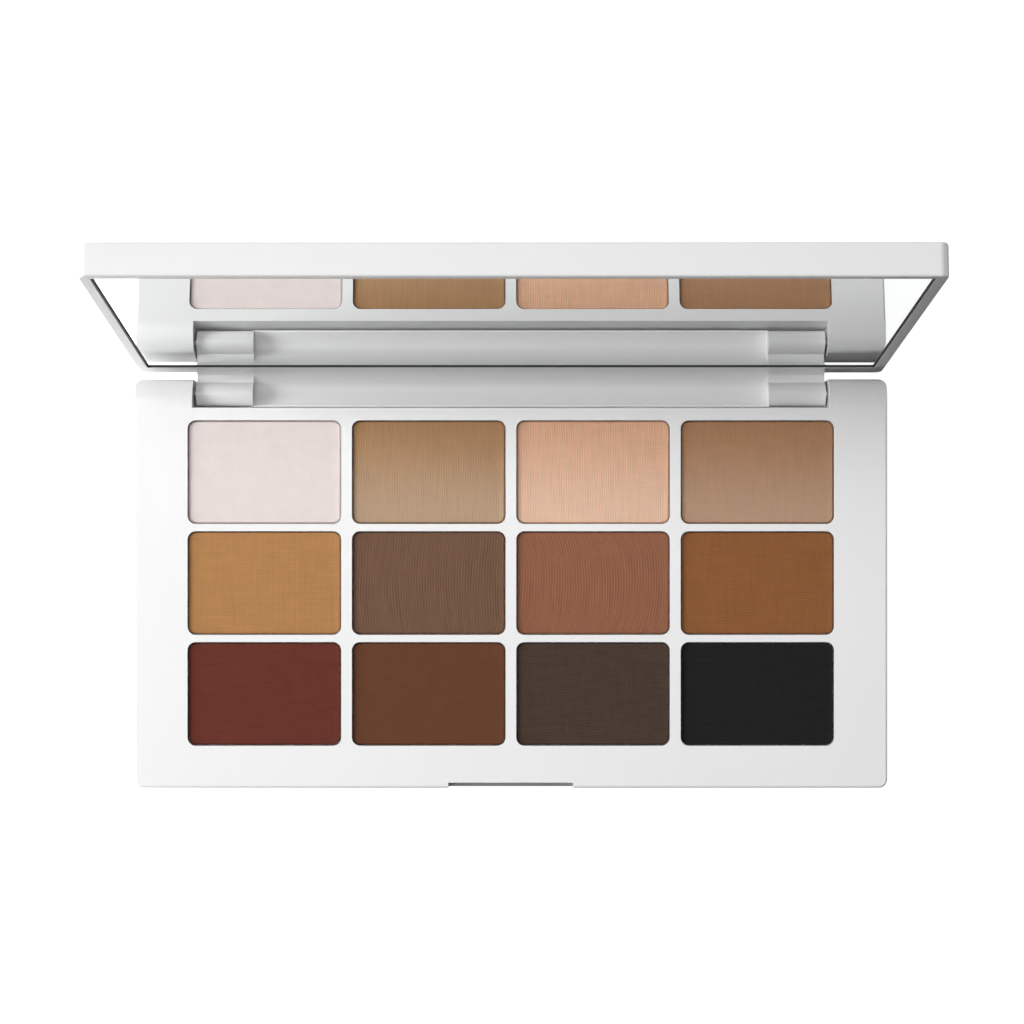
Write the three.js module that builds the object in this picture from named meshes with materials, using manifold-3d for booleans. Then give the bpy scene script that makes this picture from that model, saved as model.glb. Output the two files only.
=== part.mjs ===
// Eyeshadow palette with a hinged mirror lid, shown open.
// Millimetres, +Z up. Origin: centre of the underside. The hinge is at the back (+Y).
import * as THREE from 'three';
import { mergeVertices } from 'three/addons/utils/BufferGeometryUtils.js';
import Module from 'manifold-3d';

const wasm = await Module();
wasm.setup();

// ---- base ----
const WIDTH = 146;
const DEPTH = 79.4;
const DECK_TOP = 8.7;
const PLAN_RADIUS = 1.6;
const EDGE_RADIUS = 0.45;
const COVER_HEIGHT = 2.25;
const SEAM = 0.1;
const WALL = 1.6;

// ---- wells, pans and powders ----
const COLUMNS = 4;
const ROWS = 3;
const PITCH_X = 31.87;
const PITCH_Y = 21.5;
const WELL = { width: 29.8, depth: 20.1, radius: 1.6, floor: 4.9, skin: 1.2 };
const PAN_GAP = 0.12;
const PAN = { wall: 0.16, floor: 0.25, bottom: 5.16, top: 7.85 };
const POWDER = { gap: 0.02, top: 8.25, shoulder: 0.22 };
const GLUE = { width: 20, depth: 11, bottom: 4.92, top: 5.13 };

// ---- hinge ----
const HINGE_Y = 36.9;
const HINGE_Z = 4.15;
const OPEN_ANGLE = THREE.MathUtils.degToRad(96.93);
const NOTCH_HALF = 61.85;
const NOTCH_FRONT = 34.0;
const NOTCH_FLOOR = 0.8;
const EAR_ROUND = { length: 6.5, height: 2.8 };
const KNUCKLE = { inner: 50.5, outer: 61.35, radius: 2.3, web: 0 };
const PIN = { radius: 0.75, inner: 53.5, outer: 69.0 };
const BORE = { radius: 0.83, inner: 53.2, outer: 69.3 };

// ---- lid, in the hinge's own frame, closed: y towards the back, z up ----
const LID = { bottom: 4.85, thickness: 6.0, back: 2.8 };
const SIDE_RIM = 2.07;
const FRONT_RIM = 1.7;
const BACK_RIM = 4.9;
const MIRROR = { sink: 0.3, thickness: 1.5, groove: 0.34 };
const SEAL = { gap: 0.07, sink: 0.08, depth: 1.2 };
const TAPE = { gap: 0.1, thickness: 0.3, margin: 9 };
const TROUGH = { proud: 0.15, deepest: 1.2, deepestAt: 0.9, lipDrop: 2.45, lipEdge: 0.3 };

// ---- thumb notch in the front edge ----
const THUMB = { width: 24.3, inset: 1.0, ledge: 4.2, brow: 7.6 };

// ---- closure magnets ----
const MAGNET = { radius: 2.5, thickness: 1.8, x: 47.8, y: -35.2 };
const MAGNET_CLEARANCE = 0.12;

// ---- underside label ----
const LABEL = { width: 84, depth: 26, y: 17, recess: 0.3, thickness: 0.14 };

const material = (color, roughness, metalness = 0) =>
  new THREE.MeshStandardMaterial({ color, roughness, metalness });
const WHITE_PLASTIC = 0xeeeeee;
const STEEL = 0xb9babc;

// Rows run from the hinge to the front edge, columns from left to right.
const SHADES = [
  [0xeedfdc, 0xad8b6d, 0xd6ab91, 0xa47e62],
  [0xb48456, 0x735745, 0x8e614a, 0x885b37],
  [0x6b382d, 0x6a4230, 0x4c3d36, 0x222222],
];

// A shape as a manifold solid, its shared vertices merged.
function solid(geometry) {
  const bare = geometry.clone();
  bare.deleteAttribute('normal');
  bare.deleteAttribute('uv');
  const merged = mergeVertices(bare, 1e-5);
  return new wasm.Manifold(new wasm.Mesh({
    numProp: 3,
    vertProperties: new Float32Array(merged.attributes.position.array),
    triVerts: new Uint32Array(merged.index.array),
  }));
}

// A finished solid as a named mesh.
function piece(name, body, look) {
  const mesh = body.getMesh();
  const geometry = new THREE.BufferGeometry();
  geometry.setAttribute('position', new THREE.BufferAttribute(mesh.vertProperties, 3));
  geometry.setIndex(new THREE.BufferAttribute(mesh.triVerts, 1));
  geometry.computeVertexNormals();
  const result = new THREE.Mesh(geometry, look);
  result.name = name;
  return result;
}

function roundedRect(width, depth, radius, x = 0, y = 0) {
  const shape = new THREE.Shape();
  const right = x + width / 2 - radius;
  const left = x - width / 2 + radius;
  const back = y + depth / 2 - radius;
  const front = y - depth / 2 + radius;
  shape.absarc(right, back, radius, 0, Math.PI / 2);
  shape.absarc(left, back, radius, Math.PI / 2, Math.PI);
  shape.absarc(left, front, radius, Math.PI, Math.PI * 1.5);
  shape.absarc(right, front, radius, Math.PI * 1.5, Math.PI * 2);
  return shape;
}

// A flat shape raised from one height to another, with rounded edges if wanted.
function slab(shape, bottom, top, edge = 0, curveSegments = 3) {
  const geometry = new THREE.ExtrudeGeometry(shape, {
    depth: top - bottom - 2 * edge,
    curveSegments,
    bevelEnabled: edge > 0,
    bevelThickness: edge,
    bevelSize: edge,
    bevelOffset: -edge,
    bevelSegments: 3,
  });
  geometry.translate(0, 0, bottom + edge);
  return solid(geometry);
}

function box(x0, x1, y0, y1, z0, z1) {
  const geometry = new THREE.BoxGeometry(x1 - x0, y1 - y0, z1 - z0);
  geometry.translate((x0 + x1) / 2, (y0 + y1) / 2, (z0 + z1) / 2);
  return solid(geometry);
}

// A side profile drawn in y and z, run along x from x0 to x1.
function sideProfile(shape, x0, x1, curveSegments = 8) {
  const geometry = new THREE.ExtrudeGeometry(shape, {
    depth: x1 - x0,
    curveSegments,
    bevelEnabled: false,
  });
  geometry.translate(0, 0, x0);
  const turn = new THREE.Matrix4().makeBasis(
    new THREE.Vector3(0, 1, 0),
    new THREE.Vector3(0, 0, 1),
    new THREE.Vector3(1, 0, 0),
  );
  geometry.applyMatrix4(turn);
  return solid(geometry);
}

function rodAlongX(radius, x0, x1, y = 0, z = 0, sides = 24) {
  const geometry = new THREE.CylinderGeometry(radius, radius, x1 - x0, sides);
  geometry.rotateZ(Math.PI / 2);
  geometry.translate((x0 + x1) / 2, y, z);
  return solid(geometry);
}

function disc(radius, x, y, z0, z1, sides = 24) {
  const geometry = new THREE.CylinderGeometry(radius, radius, z1 - z0, sides);
  geometry.rotateX(Math.PI / 2);
  geometry.translate(x, y, (z0 + z1) / 2);
  return solid(geometry);
}

const cutAll = (body, cutters) => cutters.reduce((left, cutter) => left.subtract(cutter), body);
const joinAll = (bodies) => bodies.reduce((sum, body) => sum.add(body));
const bothSides = (make) => [make(-1), make(1)];

// An x span on one side of the middle: side is -1 or 1.
const span = (side, inner, outer) => (side > 0 ? [inner, outer] : [-outer, -inner]);

function wellPlaces() {
  const places = [];
  for (let row = 0; row < ROWS; row += 1) {
    for (let column = 0; column < COLUMNS; column += 1) {
      const x = (column - (COLUMNS - 1) / 2) * PITCH_X;
      const y = ((ROWS - 1) / 2 - row) * PITCH_Y;
      places.push({ row, column, x, y, tag: `${row + 1}_${column + 1}` });
    }
  }
  return places;
}

const hingeNotch = (bottom, top) =>
  box(-NOTCH_HALF, NOTCH_HALF, NOTCH_FRONT, DEPTH / 2 + 1, bottom, top);

// The base seen from its end: square at the front, rounded behind so that the lid's rim swings past.
function earProfile() {
  const shape = new THREE.Shape();
  const back = DEPTH / 2;
  const { length, height } = EAR_ROUND;
  shape.moveTo(-back - 1, -1);
  shape.lineTo(back, -1);
  shape.lineTo(back, DECK_TOP - height);
  shape.absellipse(back - length, DECK_TOP - height, length, height, 0, Math.PI / 2, false, 0);
  shape.lineTo(-back - 1, DECK_TOP);
  return shape;
}

// The thumb notch: a short upright brow, and below it a face that slants out to the front.
function thumbCutter() {
  const shape = new THREE.Shape();
  const front = -DEPTH / 2;
  const wall = front + THUMB.inset;
  shape.moveTo(front - 1, DECK_TOP + 1);
  shape.lineTo(front - 1, THUMB.ledge);
  shape.lineTo(front, THUMB.ledge);
  shape.lineTo(wall, THUMB.brow);
  shape.lineTo(wall, DECK_TOP + 1);
  return sideProfile(shape, -THUMB.width / 2, THUMB.width / 2);
}

// Hollows open to the bottom cover, under each well and in the borders round them.
function undersideHollows(places) {
  const roof = DECK_TOP - WALL;
  const sideOuter = WIDTH / 2 - WALL;
  const sideInner = sideOuter - 6.6;
  const sides = bothSides((side) => box(...span(side, sideInner, sideOuter), -31, 29.5, 0, roof));
  const magnetRoom = MAGNET.radius + WALL;
  const reach = MAGNET.x - magnetRoom;
  const front = box(-reach, reach, -DEPTH / 2 + WALL + 1, -33.2, 0, roof);
  const halfWidth = WELL.width / 2 - 1;
  const halfDepth = WELL.depth / 2 - 1;
  const underWells = places.map(({ x, y }) =>
    box(x - halfWidth, x + halfWidth, y - halfDepth, y + halfDepth, 0, WELL.floor - WELL.skin));
  return [...sides, front, ...underWells];
}

function deckHousing(places) {
  const floor = COVER_HEIGHT + SEAM;
  const outline = roundedRect(WIDTH, DEPTH, PLAN_RADIUS);
  const block = slab(outline, -2, DECK_TOP, EDGE_RADIUS)
    .intersect(sideProfile(earProfile(), -WIDTH, WIDTH, 16))
    .subtract(box(-WIDTH, WIDTH, -DEPTH, DEPTH, -3, floor));
  const wells = places.map(({ x, y }) =>
    slab(roundedRect(WELL.width, WELL.depth, WELL.radius, x, y), WELL.floor, DECK_TOP + 1));
  const bores = bothSides((side) =>
    rodAlongX(BORE.radius, ...span(side, NOTCH_HALF - 1, BORE.outer), HINGE_Y, HINGE_Z));
  const magnetTop = DECK_TOP - 1.1;
  const magnetPockets = bothSides((side) =>
    disc(MAGNET.radius + MAGNET_CLEARANCE, side * MAGNET.x, MAGNET.y, 0, magnetTop));
  return cutAll(block, [
    ...wells,
    hingeNotch(0, DECK_TOP + 1),
    thumbCutter(),
    ...undersideHollows(places),
    ...bores,
    ...magnetPockets,
  ]);
}

function bottomCover() {
  const outline = roundedRect(WIDTH, DEPTH, PLAN_RADIUS);
  const inner = roundedRect(WIDTH - 2 * WALL, 68, PLAN_RADIUS, 0, -3.2);
  const block = slab(outline, 0, DECK_TOP, EDGE_RADIUS)
    .subtract(box(-WIDTH, WIDTH, -DEPTH, DEPTH, COVER_HEIGHT, DECK_TOP + 1));
  return cutAll(block, [
    slab(inner, 1.3, DECK_TOP),
    hingeNotch(NOTCH_FLOOR, DECK_TOP + 1),
    box(-LABEL.width / 2, LABEL.width / 2, LABEL.y - LABEL.depth / 2, LABEL.y + LABEL.depth / 2, -1,
      LABEL.recess),
  ]);
}

function undersideLabel() {
  const halfWidth = LABEL.width / 2 - 0.4;
  const halfDepth = LABEL.depth / 2 - 0.4;
  const top = LABEL.recess - 0.01;
  return box(-halfWidth, halfWidth, LABEL.y - halfDepth, LABEL.y + halfDepth, top - LABEL.thickness, top);
}

const panSize = () => ({
  width: WELL.width - 2 * PAN_GAP,
  depth: WELL.depth - 2 * PAN_GAP,
  radius: WELL.radius - PAN_GAP,
});

function pan({ x, y }) {
  const { width, depth, radius } = panSize();
  const outer = slab(roundedRect(width, depth, radius, x, y), PAN.bottom, PAN.top);
  const room = roundedRect(width - 2 * PAN.wall, depth - 2 * PAN.wall, radius - PAN.wall, x, y);
  return outer.subtract(slab(room, PAN.bottom + PAN.floor, PAN.top + 1));
}

function powder({ x, y }) {
  const { width, depth, radius } = panSize();
  const inset = PAN.wall + POWDER.gap;
  const outline = roundedRect(width - 2 * inset, depth - 2 * inset, radius - inset, x, y);
  const floor = PAN.bottom + PAN.floor + POWDER.gap;
  const low = floor - 2 * POWDER.shoulder;
  const cake = slab(outline, low, POWDER.top, POWDER.shoulder);
  return cake.subtract(box(x - width, x + width, y - depth, y + depth, low - 1, floor));
}

function gluePad({ x, y }) {
  return slab(roundedRect(GLUE.width, GLUE.depth, 2, x, y), GLUE.bottom, GLUE.top, 0, 1);
}

function hingePin(side) {
  return rodAlongX(PIN.radius, ...span(side, PIN.inner, PIN.outer), HINGE_Y, HINGE_Z);
}

function baseMagnet(side) {
  const top = DECK_TOP - 1.2;
  return disc(MAGNET.radius, side * MAGNET.x, MAGNET.y, top - MAGNET.thickness, top);
}

// ---- the lid's pieces, closed, measured from the hinge axis ----
const LID_FRONT = LID.back - DEPTH;
const LID_MIDDLE = LID.back - DEPTH / 2;
const LID_TOP = LID.bottom + LID.thickness;
const RECESS = {
  half: WIDTH / 2 - SIDE_RIM,
  front: LID_FRONT + FRONT_RIM,
  back: LID.back - BACK_RIM,
  floor: LID.bottom + MIRROR.sink + MIRROR.thickness + TAPE.thickness + 2 * TAPE.gap,
};

// The cove that the trough and the knuckles start from, along the mirror's edge.
function startCove(shape, endAngle) {
  const top = LID.bottom - TROUGH.proud;
  const reachY = TROUGH.deepest - RECESS.back;
  const reachZ = top - TROUGH.deepestAt;
  shape.moveTo(RECESS.back, LID.bottom + 1);
  shape.lineTo(RECESS.back, top);
  shape.absellipse(RECESS.back, TROUGH.deepestAt, reachY, reachZ, Math.PI / 2, endAngle, true, 0);
}

// The hinge trough: concave from the mirror's edge round to a lip under the axis.
function troughProfile() {
  const shape = new THREE.Shape();
  const lipZ = -TROUGH.lipDrop + TROUGH.lipEdge;
  const drop = TROUGH.deepestAt - lipZ;
  const lowerRadius = (TROUGH.deepest ** 2 + drop ** 2) / (2 * TROUGH.deepest);
  const lowerCentre = TROUGH.deepest - lowerRadius;
  const sweep = Math.asin(drop / lowerRadius);
  startCove(shape, 0);
  shape.absarc(lowerCentre, TROUGH.deepestAt, lowerRadius, 0, -sweep, true);
  shape.lineTo(0, -TROUGH.lipDrop);
  shape.absellipse(0, 0, LID.back, TROUGH.lipDrop, -Math.PI / 2, 0, false, 0);
  shape.lineTo(LID.back, LID.bottom + 1);
  return shape;
}

// A knuckle: a round barrel on the axis, with a web up to the cove behind it.
function knuckleProfile() {
  const shape = new THREE.Shape();
  const coveAngle = Math.acos((KNUCKLE.web - RECESS.back) / (TROUGH.deepest - RECESS.back));
  const webAngle = Math.acos(KNUCKLE.web / KNUCKLE.radius);
  const tailAngle = THREE.MathUtils.degToRad(-35);
  startCove(shape, coveAngle);
  shape.absarc(0, 0, KNUCKLE.radius, webAngle, Math.PI * 2 + tailAngle, false);
  shape.lineTo(LID.back, 0.2);
  shape.lineTo(LID.back, LID.bottom + 1);
  return shape;
}

// Pockets behind the mirror that lighten the lid and leave ribs between them.
function lidHollows() {
  const hollows = [];
  const across = 6;
  const deep = 2;
  const rib = 2;
  const width = (2 * RECESS.half - 14) / across;
  const frontEdge = RECESS.front + 12;
  const length = (RECESS.back - 4 - frontEdge) / deep;
  for (let i = 0; i < across; i += 1) {
    for (let j = 0; j < deep; j += 1) {
      const x0 = (i - across / 2) * width;
      const y0 = frontEdge + j * length;
      hollows.push(box(x0 + rib / 2, x0 + width - rib / 2, y0 + rib / 2, y0 + length - rib / 2,
        RECESS.floor - 1, LID_TOP - WALL));
    }
  }
  return hollows;
}

const lidMagnetBottom = RECESS.floor + 0.2;

function lidBody() {
  const outline = roundedRect(WIDTH, DEPTH, PLAN_RADIUS, 0, LID_MIDDLE);
  const panel = slab(outline, LID.bottom, LID_TOP, EDGE_RADIUS);
  const recess = box(-RECESS.half, RECESS.half, RECESS.front, RECESS.back, LID.bottom - 1, RECESS.floor);
  const trough = sideProfile(troughProfile(), -KNUCKLE.inner, KNUCKLE.inner);
  const knuckles = bothSides((side) =>
    sideProfile(knuckleProfile(), ...span(side, KNUCKLE.inner - 0.2, KNUCKLE.outer), 16));
  const bores = bothSides((side) =>
    rodAlongX(BORE.radius, ...span(side, BORE.inner, KNUCKLE.outer + 1)));
  const magnetPockets = bothSides((side) =>
    disc(MAGNET.radius + MAGNET_CLEARANCE, side * MAGNET.x, MAGNET.y - HINGE_Y, RECESS.floor - 1,
      lidMagnetBottom + MAGNET.thickness + 0.1));
  const hinged = joinAll([panel.subtract(recess), trough, ...knuckles]);
  return cutAll(hinged, [...bores, ...magnetPockets, ...lidHollows()]);
}

function mirrorGlass() {
  const half = RECESS.half - MIRROR.groove;
  const bottom = LID.bottom + MIRROR.sink;
  return box(-half, half, RECESS.front + MIRROR.groove, RECESS.back - MIRROR.groove, bottom,
    bottom + MIRROR.thickness);
}

// The bead that fills the groove between the glass and the rim.
function mirrorSeal() {
  const bottom = LID.bottom + SEAL.sink;
  const top = bottom + SEAL.depth;
  const outerHalf = RECESS.half - SEAL.gap;
  const innerHalf = RECESS.half - MIRROR.groove + SEAL.gap;
  const front = RECESS.front + SEAL.gap;
  const back = RECESS.back - SEAL.gap;
  const width = MIRROR.groove - 2 * SEAL.gap;
  return box(-outerHalf, outerHalf, front, back, bottom, top)
    .subtract(box(-innerHalf, innerHalf, front + width, back - width, bottom - 1, top + 1));
}

function mirrorTape() {
  const half = RECESS.half - TAPE.margin;
  const bottom = LID.bottom + MIRROR.sink + MIRROR.thickness + TAPE.gap;
  return box(-half, half, RECESS.front + TAPE.margin, RECESS.back - TAPE.margin / 2, bottom,
    bottom + TAPE.thickness);
}

function lidMagnet(side) {
  return disc(MAGNET.radius, side * MAGNET.x, MAGNET.y - HINGE_Y, lidMagnetBottom,
    lidMagnetBottom + MAGNET.thickness);
}

// ---- assembly ----
const plastic = () => material(WHITE_PLASTIC, 0.4);
const metal = () => material(STEEL, 0.35, 1);
const sideName = (side) => (side < 0 ? 'left' : 'right');

const base = new THREE.Group();
const places = wellPlaces();
base.add(piece('deck_housing', deckHousing(places), plastic()));
base.add(piece('bottom_cover', bottomCover(), plastic()));
base.add(piece('underside_label', undersideLabel(), material(0xd9d9d6, 0.6)));
for (const place of places) {
  const shade = SHADES[place.row][place.column];
  base.add(piece(`pan_${place.tag}`, pan(place), metal()));
  base.add(piece(`powder_${place.tag}`, powder(place), material(shade, 0.95)));
  base.add(piece(`glue_pad_${place.tag}`, gluePad(place), material(0xe9e4d2, 0.7)));
}
for (const side of [-1, 1]) {
  base.add(piece(`hinge_pin_${sideName(side)}`, hingePin(side), metal()));
  base.add(piece(`base_magnet_${sideName(side)}`, baseMagnet(side), metal()));
}

const lid = new THREE.Group();
lid.position.set(0, HINGE_Y, HINGE_Z);
lid.rotation.x = -OPEN_ANGLE;
lid.add(piece('lid_body', lidBody(), plastic()));
lid.add(piece('mirror', mirrorGlass(), material(0xf4f6f6, 0.02, 1)));
lid.add(piece('mirror_seal', mirrorSeal(), material(0x46484a, 0.6)));
lid.add(piece('mirror_tape', mirrorTape(), material(0xd8d8d0, 0.8)));
for (const side of [-1, 1]) {
  lid.add(piece(`lid_magnet_${sideName(side)}`, lidMagnet(side), metal()));
}

const group = new THREE.Group();
group.add(base, lid);

export default group;
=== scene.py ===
"""Eyeshadow palette: pressed powders in a white moulded base, with a mirror in its hinged lid."""

import math

import bmesh
import bpy
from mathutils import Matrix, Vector, noise


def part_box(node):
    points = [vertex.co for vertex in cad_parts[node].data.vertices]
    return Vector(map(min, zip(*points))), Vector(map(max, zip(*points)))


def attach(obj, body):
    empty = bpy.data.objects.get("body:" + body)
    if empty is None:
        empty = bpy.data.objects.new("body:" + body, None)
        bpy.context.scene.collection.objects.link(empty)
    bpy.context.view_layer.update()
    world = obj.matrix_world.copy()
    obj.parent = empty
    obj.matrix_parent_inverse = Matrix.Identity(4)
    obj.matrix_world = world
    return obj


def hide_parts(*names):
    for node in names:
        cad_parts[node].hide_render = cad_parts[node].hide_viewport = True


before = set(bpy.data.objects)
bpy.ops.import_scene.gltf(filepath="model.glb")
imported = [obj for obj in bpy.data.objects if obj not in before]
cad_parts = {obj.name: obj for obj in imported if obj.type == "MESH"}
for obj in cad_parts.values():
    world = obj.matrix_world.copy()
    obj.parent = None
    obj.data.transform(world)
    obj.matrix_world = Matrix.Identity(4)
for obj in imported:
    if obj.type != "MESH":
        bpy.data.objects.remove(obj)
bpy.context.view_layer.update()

MM = 0.001
COLUMNS = 4
ROWS = 3
TAGS = [f"{row + 1}_{column + 1}" for row in range(ROWS) for column in range(COLUMNS)]
DECK_LOW, DECK_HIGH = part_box("deck_housing")

# Pressed powders, hinge row first: sRGB colour, satin from 0 to 1, how strongly a painted sheen
# lightens the front edge, thread pitch of the pressing cloth in millimetres, how strongly its warp and
# weft show, how far they arch, how far they wander.
POWDERS = {
    "1_1": ("e9d9d6", 0.4, 0.06, 0.44, 0.14, 0.12, 0.0, 0.3),
    "1_2": ("a77f58", 0.4, 0.17, 0.46, 1.0, 0.3, 0.0, 0.25),
    "1_3": ("dfae8d", 0.4, 0.2, 0.46, 1.0, 0.4, 0.0, 0.25),
    "1_4": ("aa7e5b", 0.35, 0.14, 0.42, 0.8, 0.5, 0.0, 0.3),
    "2_1": ("b18151", 0.0, 0.0, 0.44, 0.7, 0.7, 0.0, 0.15),
    "2_2": ("725442", 0.0, 0.0, 0.52, 1.3, 0.2, -0.9, 0.2),
    "2_3": ("905f47", 0.0, 0.0, 0.52, 1.2, 0.2, 1.5, 0.2),
    "2_4": ("8c5a34", 0.0, 0.0, 0.48, 0.7, 0.7, 0.0, 0.3),
    "3_1": ("663126", 0.0, 0.0, 0.46, 0.4, 0.9, 0.0, 0.6),
    "3_2": ("663e2a", 0.0, 0.0, 0.46, 0.3, 0.5, 0.0, 0.4),
    "3_3": ("493930", 0.0, 0.0, 0.48, 0.8, 1.2, 0.0, 0.4),
    "3_4": ("1b1b1b", 0.0, 0.0, 0.48, 1.2, 2.0, 0.0, 0.4),
}


def linear(hex_colour):
    """A colour written as six hex digits, as linear red, green, blue and alpha."""
    channels = []
    for i in (0, 2, 4):
        value = int(hex_colour[i:i + 2], 16) / 255
        channels.append(value / 12.92 if value <= 0.04045 else ((value + 0.055) / 1.055) ** 2.4)
    return (*channels, 1.0)


def tinted(colour, gain):
    """A linear colour made lighter or darker."""
    return (*[min(1.0, channel * gain) for channel in colour[:3]], 1.0)


# ---------------------------------------------------------------- shader groups

def group_tree(name, inputs, outputs):
    """An empty shader group with named sockets, and its input and output nodes."""
    tree = bpy.data.node_groups.new(name, "ShaderNodeTree")
    for socket, kind, value in inputs:
        made = tree.interface.new_socket(name=socket, in_out="INPUT", socket_type=kind)
        if value is not None:
            made.default_value = value
    for socket, kind in outputs:
        tree.interface.new_socket(name=socket, in_out="OUTPUT", socket_type=kind)
    return tree, tree.nodes.new("NodeGroupInput"), tree.nodes.new("NodeGroupOutput")


class Wiring:
    """Short ways to add and join the nodes of one tree."""

    def __init__(self, tree):
        self.tree = tree

    def node(self, kind, **settings):
        made = self.tree.nodes.new(kind)
        for key, value in settings.items():
            setattr(made, key, value)
        return made

    def put(self, source, target):
        if hasattr(source, "is_output"):
            self.tree.links.new(source, target)
        else:
            target.default_value = source

    def math(self, operation, *values, clamp=False):
        made = self.node("ShaderNodeMath", operation=operation, use_clamp=clamp)
        for value, socket in zip(values, made.inputs):
            self.put(value, socket)
        return made.outputs[0]

    def noise(self, vector, scale, detail=2.0, roughness=0.5):
        made = self.node("ShaderNodeTexNoise")
        self.put(vector, made.inputs["Vector"])
        self.put(scale, made.inputs["Scale"])
        made.inputs["Detail"].default_value = detail
        made.inputs["Roughness"].default_value = roughness
        return made.outputs["Fac"]

    def remap(self, value, low, high, to_low, to_high):
        made = self.node("ShaderNodeMapRange", interpolation_type="SMOOTHSTEP")
        for source, socket in zip((value, low, high, to_low, to_high), made.inputs):
            self.put(source, socket)
        return made.outputs[0]

    def blend(self, factor, first, second):
        made = self.node("ShaderNodeMix", data_type="RGBA")
        self.put(factor, made.inputs[0])
        self.put(first, made.inputs[6])
        self.put(second, made.inputs[7])
        return made.outputs[2]


def streaks(w, across, along):
    """Thick and thin threads: a noise drawn out along the run of the thread."""
    drawn = w.node("ShaderNodeCombineXYZ")
    w.put(w.math("MULTIPLY", across, 1.3), drawn.inputs[0])
    w.put(w.math("MULTIPLY", along, 0.12), drawn.inputs[1])
    return w.math("MULTIPLY", w.math("SUBTRACT", w.noise(drawn.outputs[0], 1.0, 2.0), 0.5), 3.0)


def pressing_cloth():
    """The print of the cloth that the powder is pressed through: a fine plain weave."""
    tree, given, result = group_tree(
        "pressing_cloth",
        [
            ("Vector", "NodeSocketVector", None),
            ("Pitch", "NodeSocketFloat", 0.5),
            ("Warp", "NodeSocketFloat", 1.0),
            ("Weft", "NodeSocketFloat", 1.0),
            ("Arch", "NodeSocketFloat", 0.0),
            ("Wander", "NodeSocketFloat", 0.3),
        ],
        [("Height", "NodeSocketFloat"), ("Threads", "NodeSocketFloat"), ("Mottle", "NodeSocketFloat")],
    )
    w = Wiring(tree)
    split = w.node("ShaderNodeSeparateXYZ")
    w.put(given.outputs["Vector"], split.inputs[0])
    x, y = split.outputs[0], split.outputs[1]
    drift_x = w.math("SUBTRACT", w.noise(given.outputs["Vector"], 0.11, 1.0), 0.5)
    drift_y = w.math("SUBTRACT", w.noise(given.outputs["Vector"], 0.17, 1.0), 0.5)
    wander = w.math("MULTIPLY", given.outputs["Wander"], 4.0)
    bow = w.math("MULTIPLY", w.math("MULTIPLY", y, y), w.math("MULTIPLY", given.outputs["Arch"], 0.01))
    warp_at = w.math("ADD", w.math("ADD", x, bow), w.math("MULTIPLY", drift_x, wander))
    weft_at = w.math("ADD", y, w.math("MULTIPLY", drift_y, wander))
    turns = w.math("DIVIDE", math.tau, given.outputs["Pitch"])
    warp_wave = w.math("SINE", w.math("MULTIPLY", warp_at, turns))
    weft_wave = w.math("SINE", w.math("MULTIPLY", weft_at, turns))
    patches = w.noise(given.outputs["Vector"], 0.28, 2.0)
    warp_share = w.math("MULTIPLY", given.outputs["Warp"], w.remap(patches, 0.35, 0.62, 0.5, 1.0))
    weft_share = w.math("MULTIPLY", given.outputs["Weft"], w.remap(patches, 0.38, 0.66, 1.0, 0.5))
    warp_threads = w.math("ADD", warp_wave, streaks(w, warp_at, y))
    weft_threads = w.math("ADD", weft_wave, streaks(w, weft_at, x))
    threads = w.math(
        "ADD", w.math("MULTIPLY", warp_threads, warp_share),
        w.math("MULTIPLY", weft_threads, weft_share),
    )
    grain = w.noise(given.outputs["Vector"], 9.0, 3.0, 0.65)
    height = w.math("ADD", w.math("MULTIPLY", threads, 0.5), w.math("MULTIPLY", grain, 0.5))
    w.put(height, result.inputs["Height"])
    w.put(w.math("MULTIPLY_ADD", threads, 0.3, 0.5, clamp=True), result.inputs["Threads"])
    w.put(w.noise(given.outputs["Vector"], 0.35, 4.0, 0.6), result.inputs["Mottle"])
    return tree


def moulded_skin():
    """The skin of a spark-eroded mould: fine grain, and slow drifts of tone and gloss."""
    tree, given, result = group_tree(
        "moulded_skin",
        [("Vector", "NodeSocketVector", None), ("Grain", "NodeSocketFloat", 6.0)],
        [("Height", "NodeSocketFloat"), ("Tone", "NodeSocketFloat"), ("Gloss", "NodeSocketFloat")],
    )
    w = Wiring(tree)
    fine = w.noise(given.outputs["Vector"], given.outputs["Grain"], 3.0, 0.6)
    w.put(fine, result.inputs["Height"])
    w.put(w.noise(given.outputs["Vector"], 0.05, 3.0, 0.55), result.inputs["Tone"])
    w.put(w.noise(given.outputs["Vector"], 0.4, 4.0, 0.6), result.inputs["Gloss"])
    return tree


CLOTH = pressing_cloth()
SKIN = moulded_skin()


def start_material(name):
    """A material with a bare Principled BSDF, its wiring, and the object position in millimetres."""
    made = bpy.data.materials.new(name)
    made.use_nodes = True
    tree = made.node_tree
    shader = next(node for node in tree.nodes if node.type == "BSDF_PRINCIPLED")
    w = Wiring(tree)
    place = w.node("ShaderNodeTexCoord")
    scaled = w.node("ShaderNodeVectorMath", operation="SCALE")
    w.put(place.outputs["Object"], scaled.inputs[0])
    scaled.inputs["Scale"].default_value = 1 / MM
    return made, w, shader, scaled.outputs[0]


def bump(w, height, shader, depth, strength=1.0):
    """Feeds a height, as deep as depth in metres, to the shader's normal."""
    made = w.node("ShaderNodeBump")
    made.inputs["Strength"].default_value = strength
    made.inputs["Distance"].default_value = depth
    w.put(height, made.inputs["Height"])
    w.put(made.outputs["Normal"], shader.inputs["Normal"])


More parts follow.
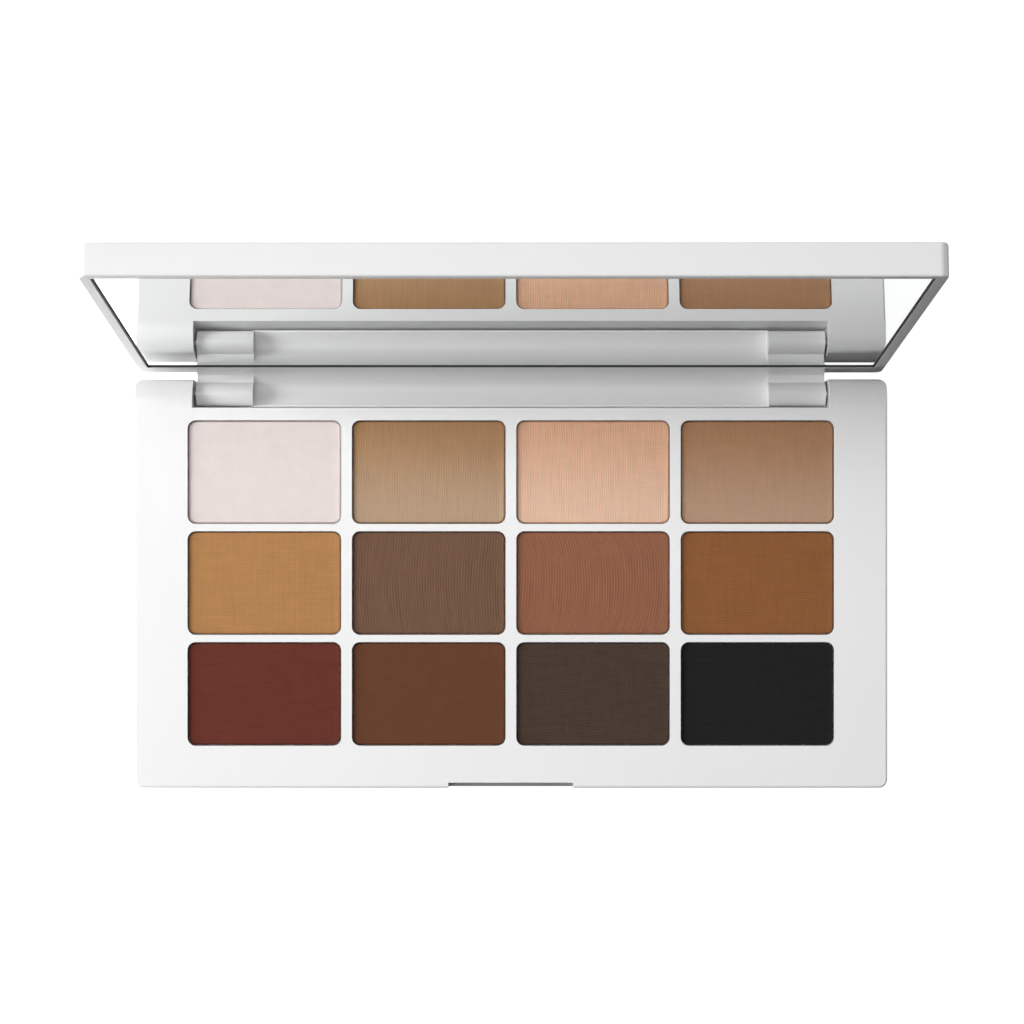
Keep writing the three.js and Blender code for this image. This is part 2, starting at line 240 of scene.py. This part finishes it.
def plastic_material(name, colour, rough_low, rough_high, grain=6.0, depth=0.004 * MM):
    """Moulded plastic or rubber, its gloss drifting between two roughnesses."""
    made, w, shader, place = start_material(name)
    skin = w.node("ShaderNodeGroup", node_tree=SKIN)
    w.put(place, skin.inputs["Vector"])
    skin.inputs["Grain"].default_value = grain
    tone = w.blend(skin.outputs["Tone"], tinted(colour, 0.985), tinted(colour, 1.01))
    w.put(tone, shader.inputs["Base Color"])
    w.put(w.remap(skin.outputs["Gloss"], 0.3, 0.7, rough_low, rough_high), shader.inputs["Roughness"])
    bump(w, skin.outputs["Height"], shader, depth)
    return made


# Painted highlight: the pale grey that the satin shades blend into towards their front edge.
PAINTED_SHEEN = (0.85, 0.8, 0.72, 1)
PAINTED_SHEEN_FROM = 9.0
PAINTED_SHEEN_TO = -9.0
MOTTLE_GAIN = (0.96, 1.05)
THREAD_GAIN = (0.65, 1.35)
THREAD_SHARE = 0.55
PRINT_DEPTH = 0.03 * MM


def powder_material(tag):
    """Pressed powder with the print of its cloth, and in the satin shades a painted sheen that lightens
    and greys the front edge.
    """
    hex_colour, satin, painted_sheen_share, pitch, warp, weft, arch, wander = POWDERS[tag]
    colour = linear(hex_colour)
    low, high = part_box(f"powder_{tag}")
    middle = (low + high) / 2
    made, w, shader, place = start_material(f"pressed_powder_{tag}")
    centred = w.node("ShaderNodeMapping")
    centred.inputs["Location"].default_value = (-middle.x / MM, -middle.y / MM, 0)
    w.put(place, centred.inputs["Vector"])
    cloth = w.node("ShaderNodeGroup", node_tree=CLOTH)
    w.put(centred.outputs[0], cloth.inputs["Vector"])
    weave = {"Pitch": pitch, "Warp": warp, "Weft": weft, "Arch": arch, "Wander": wander}
    for socket, value in weave.items():
        cloth.inputs[socket].default_value = value
    patches = w.remap(cloth.outputs["Mottle"], 0.3, 0.7, 0.0, 1.0)
    mottled = w.blend(patches, *[tinted(colour, gain) for gain in MOTTLE_GAIN])
    threaded = w.blend(cloth.outputs["Threads"], *[tinted(colour, gain) for gain in THREAD_GAIN])
    pressed = w.blend(THREAD_SHARE, mottled, threaded)
    # Painted sheen: the base colour turns lighter and greyer towards the front edge.
    if painted_sheen_share:
        split = w.node("ShaderNodeSeparateXYZ")
        w.put(centred.outputs[0], split.inputs[0])
        painted_sheen_mask = w.remap(split.outputs[1], PAINTED_SHEEN_FROM, PAINTED_SHEEN_TO, 0.0, painted_sheen_share)
        pressed = w.blend(painted_sheen_mask, pressed, PAINTED_SHEEN)
    w.put(pressed, shader.inputs["Base Color"])
    shader.inputs["Roughness"].default_value = 0.92 - 0.45 * satin
    shader.inputs["Specular IOR Level"].default_value = 0.15 + 0.4 * satin
    shader.inputs["Sheen Weight"].default_value = 0.05
    shader.inputs["Sheen Roughness"].default_value = 0.6
    bump(w, cloth.outputs["Height"], shader, PRINT_DEPTH, 0.8)
    return made


def metal_material(name, colour, rough_low, rough_high):
    """Drawn metal, with fine lines along X."""
    made, w, shader, place = start_material(name)
    streak = w.node("ShaderNodeMapping")
    streak.inputs["Scale"].default_value = (0.4, 6.0, 6.0)
    w.put(place, streak.inputs["Vector"])
    lines = w.noise(streak.outputs[0], 3.0, 3.0, 0.6)
    w.put(w.blend(lines, tinted(colour, 0.85), tinted(colour, 1.1)), shader.inputs["Base Color"])
    w.put(w.remap(lines, 0.3, 0.7, rough_low, rough_high), shader.inputs["Roughness"])
    shader.inputs["Metallic"].default_value = 1.0
    bump(w, lines, shader, 0.003 * MM)
    return made


def dust_and_shade_mask():
    """Loose powder that clings to the upper part of a surface, in patches, and where it lies also a
    painted shade.
    """
    tree, given, result = group_tree(
        "dust_and_shade_mask",
        [
            ("Vector", "NodeSocketVector", None),
            ("Reach Bottom", "NodeSocketFloat", 0.0),
            ("Reach Top", "NodeSocketFloat", 1.0),
            ("Least", "NodeSocketFloat", 0.2),
        ],
        [("Mask", "NodeSocketFloat")],
    )
    w = Wiring(tree)
    split = w.node("ShaderNodeSeparateXYZ")
    w.put(given.outputs["Vector"], split.inputs[0])
    rise = w.remap(
        split.outputs[2], given.outputs["Reach Bottom"], given.outputs["Reach Top"],
        given.outputs["Least"], 1.0,
    )
    patches = w.remap(w.noise(given.outputs["Vector"], 1.3, 4.0, 0.7), 0.3, 0.55, 0.55, 1.0)
    w.put(w.math("MULTIPLY", rise, patches, clamp=True), result.inputs["Mask"])
    return tree


DUST_AND_SHADE = dust_and_shade_mask()


def shaded_dust_pan_material(tag, rim):
    """Tinned pan metal, its rim covered by the powder that was pressed over it, darkened as a painted
    shade of the groove.
    """
    # Real powder dust on the rim, its colour darkened to 0.75 as the painted shade of the groove around
    # the cake.
    powder = tinted(linear(POWDERS[tag][0]), 0.75)
    made, w, shader, place = start_material(f"shaded_dust_pan_{tag}")
    dust = w.node("ShaderNodeGroup", node_tree=DUST_AND_SHADE)
    w.put(place, dust.inputs["Vector"])
    dust.inputs["Reach Bottom"].default_value = rim - 1.2
    dust.inputs["Reach Top"].default_value = rim - 0.3
    mask = dust.outputs["Mask"]
    lines = w.noise(place, 3.0, 3.0, 0.6)
    tin = w.blend(lines, (0.36, 0.34, 0.32, 1), (0.46, 0.44, 0.42, 1))
    w.put(w.blend(mask, tin, powder), shader.inputs["Base Color"])
    w.put(w.remap(mask, 0.0, 1.0, 0.4, 0.9), shader.inputs["Roughness"])
    w.put(w.math("SUBTRACT", 1.0, mask), shader.inputs["Metallic"])
    bump(w, lines, shader, 0.003 * MM)
    return made


def mirror_material():
    """Silvered glass, perfectly smooth, with the faintest tone in its film."""
    made, w, shader, place = start_material("silvered_mirror")
    film = w.noise(place, 0.06, 2.0)
    w.put(w.blend(film, (0.90, 0.92, 0.915, 1), (0.93, 0.945, 0.94, 1)), shader.inputs["Base Color"])
    shader.inputs["Roughness"].default_value = 0.0
    shader.inputs["Metallic"].default_value = 1.0
    return made


def paper_material(name, colour):
    """Coated label paper with a trace of its fibres."""
    made, w, shader, place = start_material(name)
    fibres = w.noise(place, 2.2, 5.0, 0.7)
    w.put(w.blend(fibres, tinted(colour, 0.95), tinted(colour, 1.03)), shader.inputs["Base Color"])
    w.put(w.remap(fibres, 0.3, 0.7, 0.5, 0.62), shader.inputs["Roughness"])
    bump(w, fibres, shader, 0.006 * MM)
    return made


WHITE = linear("eeeeee")
white_plastic = plastic_material("white_moulded_plastic", WHITE, 0.34, 0.42)
hinge_steel = metal_material("hinge_steel", (0.5, 0.5, 0.52, 1), 0.25, 0.4)
magnet_plate = metal_material("nickel_plate", (0.55, 0.54, 0.52, 1), 0.2, 0.3)
mirror_silver = mirror_material()
glue_skin = plastic_material("adhesive_pad", (0.72, 0.68, 0.56, 1), 0.5, 0.65, 2.0, 0.02 * MM)
# Near-black rubber: a bead whose darkness also paints the shade in the gap round the glass.
bead_rubber_and_shade = plastic_material("mirror_bead_rubber_and_shade", (0.05, 0.052, 0.055, 1), 0.55, 0.7, 3.0)
label_paper = paper_material("label_paper", (0.74, 0.74, 0.72, 1))


# ---------------------------------------------------------------- mesh helpers

JOIN_DISTANCE = 0.002 * MM
FLAT_DEGREES = 0.3


def finish_piece(bm, name, look, body, nodes, smooth_degrees=35.0, weighted=True):
    """Turns a bmesh into a shaded piece that rides on its body in place of its CAD nodes."""
    mesh = bpy.data.meshes.new(name)
    bm.to_mesh(mesh)
    bm.free()
    mesh.polygons.foreach_set("use_smooth", [True] * len(mesh.polygons))
    mesh.set_sharp_from_angle(angle=math.radians(smooth_degrees))
    mesh.materials.append(look)
    piece = bpy.data.objects.new(name, mesh)
    bpy.context.scene.collection.objects.link(piece)
    if weighted:
        shading = piece.modifiers.new("even_shading", "WEIGHTED_NORMAL")
        shading.keep_sharp = True
        shading.weight = 100
    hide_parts(*nodes)
    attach(piece, body)
    return piece


def merged_copy(node):
    """A CAD node's surface with its loose triangles joined and its flat faces made whole."""
    bm = bmesh.new()
    bm.from_mesh(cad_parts[node].data)
    bmesh.ops.remove_doubles(bm, verts=bm.verts, dist=JOIN_DISTANCE)
    bmesh.ops.dissolve_limit(
        bm, angle_limit=math.radians(FLAT_DEGREES), verts=bm.verts, edges=bm.edges,
        use_dissolve_boundaries=False, delimit=set(),
    )
    return bm


def soften(bm, offset, keep, segments=3, least_degrees=50.0):
    """Rounds the outward edges that keep() accepts."""
    bm.normal_update()
    sharp = [
        edge for edge in bm.edges
        if edge.is_manifold and edge.is_convex
        and edge.calc_face_angle(0) > math.radians(least_degrees) and keep(edge)
    ]
    bmesh.ops.bevel(
        bm, geom=sharp, offset=offset, offset_type="OFFSET", segments=segments, profile=0.5,
        affect="EDGES", material=-1, clamp_overlap=True, loop_slide=True,
    )
    return bm


def everywhere(edge):
    """Accepts every edge that soften() offers."""
    return True


# ---------------------------------------------------------------- pieces

EAR_ROUND_LENGTH = 6.5 * MM
DECK_EDGE = 0.18 * MM
COVER_EDGE = 0.1 * MM
LID_EDGE = 0.2 * MM
GLASS_EDGE = 0.18 * MM
BEAD_EDGE = 0.06 * MM
PAN_EDGE = 0.07 * MM
LABEL_CORNER = 2 * MM


def make_shells():
    """The deck housing, the bottom cover and the lid: the CAD shells with their small edges rounded.

    The deck's long edge strips are parted where the round of the ears begins, so that the ears
    shade evenly.
    """
    deck = merged_copy("deck_housing")
    bmesh.ops.bisect_plane(
        deck, geom=deck.verts[:] + deck.edges[:] + deck.faces[:], dist=JOIN_DISTANCE,
        plane_co=(0, DECK_HIGH.y - EAR_ROUND_LENGTH, 0), plane_no=(0, 1, 0),
    )
    soften(deck, DECK_EDGE, everywhere)
    finish_piece(deck, "deck_shell", white_plastic, "base", ["deck_housing"])
    cover = soften(merged_copy("bottom_cover"), COVER_EDGE, everywhere, 2)
    finish_piece(cover, "bottom_shell", white_plastic, "base", ["bottom_cover"])
    lid = soften(merged_copy("lid_body"), LID_EDGE, everywhere)
    finish_piece(lid, "lid_shell", white_plastic, "lid", ["lid_body"])


def make_mirror():
    """The glass, its edges barely broken."""
    glass = soften(merged_copy("mirror"), GLASS_EDGE, everywhere, 2)
    finish_piece(glass, "mirror_glass", mirror_silver, "lid", ["mirror"])


CAKE_RADIUS = 1.3 * MM
CAKE_SHOULDER = 0.22 * MM
SHOULDER_STEPS = 4
CAKE_STEPS = (72, 48)
CAKE_CROWN = 0.05 * MM
CAKE_RIPPLE = 0.03 * MM
CAKE_CRUMBLE = 0.015 * MM


def round_grid_corners(bm, half_width, half_depth, radius):
    """Pulls the square corners of a grid in to round ones."""
    for vert in bm.verts:
        u = abs(vert.co.x) - (half_width - radius)
        v = abs(vert.co.y) - (half_depth - radius)
        if u > 0 and v > 0:
            pull = max(u, v) / math.hypot(u, v)
            vert.co.x = math.copysign(half_width - radius + u * pull, vert.co.x)
            vert.co.y = math.copysign(half_depth - radius + v * pull, vert.co.y)


def outward(co, half_width, half_depth, radius):
    """The way out of a rounded rectangle from a point on its edge."""
    u = max(0.0, abs(co.x) - (half_width - radius))
    v = max(0.0, abs(co.y) - (half_depth - radius))
    way = Vector((math.copysign(u, co.x), math.copysign(v, co.y), 0))
    return way.normalized()


def powder_cake(tag):
    """One pressed powder: a slightly crowned, cloth-pressed top with a soft, crumbly shoulder."""
    low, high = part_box(f"powder_{tag}")
    middle = (low + high) / 2
    half_width = (high.x - low.x) / 2 - CAKE_SHOULDER
    half_depth = (high.y - low.y) / 2 - CAKE_SHOULDER
    radius = CAKE_RADIUS - CAKE_SHOULDER
    top = high.z - CAKE_CROWN - CAKE_RIPPLE
    bm = bmesh.new()
    bmesh.ops.create_grid(bm, x_segments=CAKE_STEPS[0], y_segments=CAKE_STEPS[1], size=0.5)
    bmesh.ops.scale(bm, vec=(2 * half_width, 2 * half_depth, 1), verts=bm.verts)
    round_grid_corners(bm, half_width, half_depth, radius)
    for vert in bm.verts:
        across, along = vert.co.x / half_width, vert.co.y / half_depth
        crown = CAKE_CROWN * (1 - across ** 4) * (1 - along ** 4)
        place = Vector((vert.co.x + middle.x, vert.co.y + middle.y, 0)) / (5 * MM)
        vert.co.z = top + crown + CAKE_RIPPLE * noise.noise(place)
    rim = [edge for edge in bm.edges if edge.is_boundary]
    ways = {}
    starts = {}
    for vert in {vert for edge in rim for vert in edge.verts}:
        ways[vert] = outward(vert.co, half_width, half_depth, radius)
        starts[vert] = vert.co.copy()
    for step in range(1, SHOULDER_STEPS + 2):
        turned = math.pi / 2 * min(step, SHOULDER_STEPS) / SHOULDER_STEPS
        grown = bmesh.ops.extrude_edge_only(bm, edges=rim)["geom"]
        rim = [item for item in grown if isinstance(item, bmesh.types.BMEdge) and item.is_boundary]
        fresh = [item for item in grown if isinstance(item, bmesh.types.BMVert)]
        found = {}
        for vert in fresh:
            old = next(
                edge.other_vert(vert) for edge in vert.link_edges if edge.other_vert(vert) in ways
            )
            found[vert] = old
        for vert, old in found.items():
            crumb = CAKE_CRUMBLE * (noise.noise(starts[old] / (0.6 * MM) + middle / MM) + 0.3)
            reach = (CAKE_SHOULDER - max(0.0, crumb)) * math.sin(turned)
            vert.co = starts[old] + ways[old] * reach
            vert.co.z = starts[old].z - CAKE_SHOULDER * (1 - math.cos(turned))
            if step > SHOULDER_STEPS:
                vert.co.z = low.z
        ways = {vert: ways[old] for vert, old in found.items()}
        starts = {vert: starts[old] for vert, old in found.items()}
    bmesh.ops.contextual_create(bm, geom=rim)
    bmesh.ops.translate(bm, vec=(middle.x, middle.y, 0), verts=bm.verts)
    bmesh.ops.recalc_face_normals(bm, faces=bm.faces)
    look = powder_material(tag)
    node = f"powder_{tag}"
    return finish_piece(bm, f"powder_cake_{tag}", look, "base", [node], 60.0, False)


PAN_WALL = 0.16 * MM
PAN_CORNER = 1.48 * MM


def powder_pan(tag):
    """One drawn metal pan: rounded corners, a thin wall and a rolled rim."""
    low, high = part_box(f"pan_{tag}")
    middle = (low + high) / 2
    bm = bmesh.new()
    bmesh.ops.create_grid(bm, x_segments=1, y_segments=1, size=0.5)
    bmesh.ops.scale(bm, vec=(high.x - low.x, high.y - low.y, 1), verts=bm.verts)
    bmesh.ops.translate(bm, vec=(middle.x, middle.y, low.z), verts=bm.verts)
    bmesh.ops.bevel(
        bm, geom=list(bm.verts), offset=PAN_CORNER, offset_type="OFFSET", segments=6, profile=0.5,
        affect="VERTICES", material=-1,
    )
    rim = [edge for edge in bm.edges if edge.is_boundary]
    grown = bmesh.ops.extrude_edge_only(bm, edges=rim)["geom"]
    wall = [item for item in grown if isinstance(item, bmesh.types.BMVert)]
    bmesh.ops.translate(bm, vec=(0, 0, high.z - low.z), verts=wall)
    bmesh.ops.recalc_face_normals(bm, faces=bm.faces)
    bmesh.ops.solidify(bm, geom=bm.faces[:], thickness=PAN_WALL)
    bmesh.ops.recalc_face_normals(bm, faces=bm.faces)
    soften(bm, PAN_EDGE, lambda edge: min(vert.co.z for vert in edge.verts) > high.z - 0.01 * MM, 2)
    look = shaded_dust_pan_material(tag, high.z / MM)
    return finish_piece(bm, f"pan_tray_{tag}", look, "base", [f"pan_{tag}"])


def make_mirror_seal():
    """The rubber bead in the groove between the glass and the rim. It is near black, so it also paints
    the shade of that gap.
    """
    bead = soften(merged_copy("mirror_seal"), BEAD_EDGE, everywhere, 2)
    finish_piece(bead, "mirror_bead", bead_rubber_and_shade, "lid", ["mirror_seal"])


def make_label():
    """The blank label in its recess under the base, with round corners."""
    low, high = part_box("underside_label")
    bm = bmesh.new()
    bmesh.ops.create_cube(bm, size=1)
    bmesh.ops.scale(bm, vec=high - low, verts=bm.verts)
    bmesh.ops.translate(bm, vec=(low + high) / 2, verts=bm.verts)
    upright = [edge for edge in bm.edges if abs(edge.verts[0].co.z - edge.verts[1].co.z) > 0.05 * MM]
    bmesh.ops.bevel(
        bm, geom=upright, offset=LABEL_CORNER, offset_type="OFFSET", segments=6, profile=0.5,
        affect="EDGES", material=-1,
    )
    finish_piece(bm, "label_sheet", label_paper, "base", ["underside_label"], 35.0, False)


def dress(node, look):
    """Gives a CAD node that stays its own finish."""
    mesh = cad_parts[node].data
    mesh.materials.clear()
    mesh.materials.append(look)


def dress_inner_nodes():
    """Pins, magnets, glue pads and the sheet behind the mirror keep their shape."""
    for side in ("left", "right"):
        dress(f"hinge_pin_{side}", hinge_steel)
        dress(f"base_magnet_{side}", magnet_plate)
        dress(f"lid_magnet_{side}", magnet_plate)
    dress("mirror_tape", glue_skin)
    for tag in TAGS:
        dress(f"glue_pad_{tag}", glue_skin)


make_shells()
make_mirror()
for tag in TAGS:
    powder_pan(tag)
    powder_cake(tag)
make_mirror_seal()
make_label()
dress_inner_nodes()


# ---------------------------------------------------------------- studio

FLOOR_GAP = 0.02 * MM
FLOOR_SEEN = 1.0
FLOOR_GIVEN = 0.25
SKY_SEEN = 1.0
SKY_GIVEN = (0.02, 0.08)
KEY_SIDE = (-0.78, 0.62)
# Floor colour away from and near the key: a painted shadow at the front right.
FLOOR_PAINTED_SHADE = (0.1, 0.85)


def lit_by(w, given, seen):
    """What a backdrop sends out: one strength to the eye and the mirror, and another as a light."""
    path = w.node("ShaderNodeLightPath")
    direct = w.math("MAXIMUM", path.outputs["Is Camera Ray"], path.outputs["Is Singular Ray"])
    choice = w.node("ShaderNodeMix", data_type="FLOAT")
    w.put(direct, choice.inputs[0])
    w.put(given, choice.inputs[2])
    w.put(seen, choice.inputs[3])
    return choice.outputs[0]


def towards_key(w, vector, low, high, away, near):
    """A value that changes from the front right to the back left, where the key light stands."""
    split = w.node("ShaderNodeSeparateXYZ")
    w.put(vector, split.inputs[0])
    across = w.math("MULTIPLY", split.outputs[0], KEY_SIDE[0])
    along = w.math("MULTIPLY", split.outputs[1], KEY_SIDE[1])
    return w.remap(w.math("ADD", across, along), low, high, away, near)


def make_floor():
    """A plain sweep that looks evenly white and gives its light from the key side. A painted shadow
    darkens its colour towards the front right.
    """
    bm = bmesh.new()
    bmesh.ops.create_grid(bm, x_segments=1, y_segments=1, size=3)
    mesh = bpy.data.meshes.new("studio_floor")
    bm.to_mesh(mesh)
    bm.free()
    paint = bpy.data.materials.new("studio_white")
    paint.use_nodes = True
    w = Wiring(paint.node_tree)
    shader = next(node for node in paint.node_tree.nodes if node.type == "BSDF_PRINCIPLED")
    place = w.node("ShaderNodeTexCoord").outputs["Object"]
    # Painted shadow: the floor colour falls from 0.85 on the key side to 0.1 at the front right, and
    # reaches the object only as bounced light.
    w.put(towards_key(w, place, -0.03, 0.08, *FLOOR_PAINTED_SHADE), shader.inputs["Base Color"])
    shader.inputs["Roughness"].default_value = 0.9
    shader.inputs["Specular IOR Level"].default_value = 0.0
    shader.inputs["Emission Color"].default_value = (1, 1, 1, 1)
    given = towards_key(w, place, -0.02, 0.08, 0.0, FLOOR_GIVEN)
    w.put(lit_by(w, given, FLOOR_SEEN), shader.inputs["Emission Strength"])
    mesh.materials.append(paint)
    floor = bpy.data.objects.new("studio_floor", mesh)
    floor.location.z = -FLOOR_GAP
    bpy.context.scene.collection.objects.link(floor)


def soft_light(name, place, size, watts):
    """A rectangular light that faces the object and isn't seen by the camera."""
    data = bpy.data.lights.new(name, "AREA")
    data.shape = "RECTANGLE"
    data.size, data.size_y = size
    data.energy = watts
    lamp = bpy.data.objects.new(name, data)
    lamp.location = place
    lamp.visible_camera = False
    lamp.rotation_euler = (-Vector(place)).to_track_quat("-Z", "Y").to_euler()
    bpy.context.scene.collection.objects.link(lamp)


def make_world():
    """A white studio: even to look at, and brighter on the key side as a source of light."""
    world = bpy.data.worlds.new("studio_air")
    world.use_nodes = True
    w = Wiring(world.node_tree)
    sky = world.node_tree.nodes["Background"]
    sky.inputs["Color"].default_value = (1, 1, 1, 1)
    way = w.node("ShaderNodeTexCoord").outputs["Generated"]
    given = towards_key(w, way, -0.3, 0.9, *SKY_GIVEN)
    w.put(lit_by(w, given, SKY_SEEN), sky.inputs["Strength"])
    bpy.context.scene.world = world


CAMERA_HEIGHT = 508.7 * MM
CAMERA_SHIFT = (-2.69 * MM, -1.36 * MM)


def make_camera():
    """Straight above the deck, so that the base is square on and the open lid leans into view."""
    data = bpy.data.cameras.new("overhead_camera")
    data.lens = 92.25
    data.sensor_width = 36
    data.shift_x = 0.0146
    data.shift_y = 0.0762
    camera = bpy.data.objects.new("overhead_camera", data)
    camera.location = (CAMERA_SHIFT[0], CAMERA_SHIFT[1], DECK_HIGH.z + CAMERA_HEIGHT)
    bpy.context.scene.collection.objects.link(camera)
    bpy.context.scene.camera = camera


make_floor()
make_world()
soft_light("key_softbox", (-1.62, 0.257, 1.0), (0.89, 0.89), 34)
soft_light("top_softbox", (-0.25, 0.3, 1.6), (0.7, 0.7), 11.2)
soft_light("low_card", (-0.3, -0.12, 0.05), (0.2, 0.08), 0.45)
soft_light("side_card", (0.9, 0.05, 0.04), (0.4, 0.08), 1.7)
make_camera()
bpy.context.scene.view_settings.view_transform = "Standard"
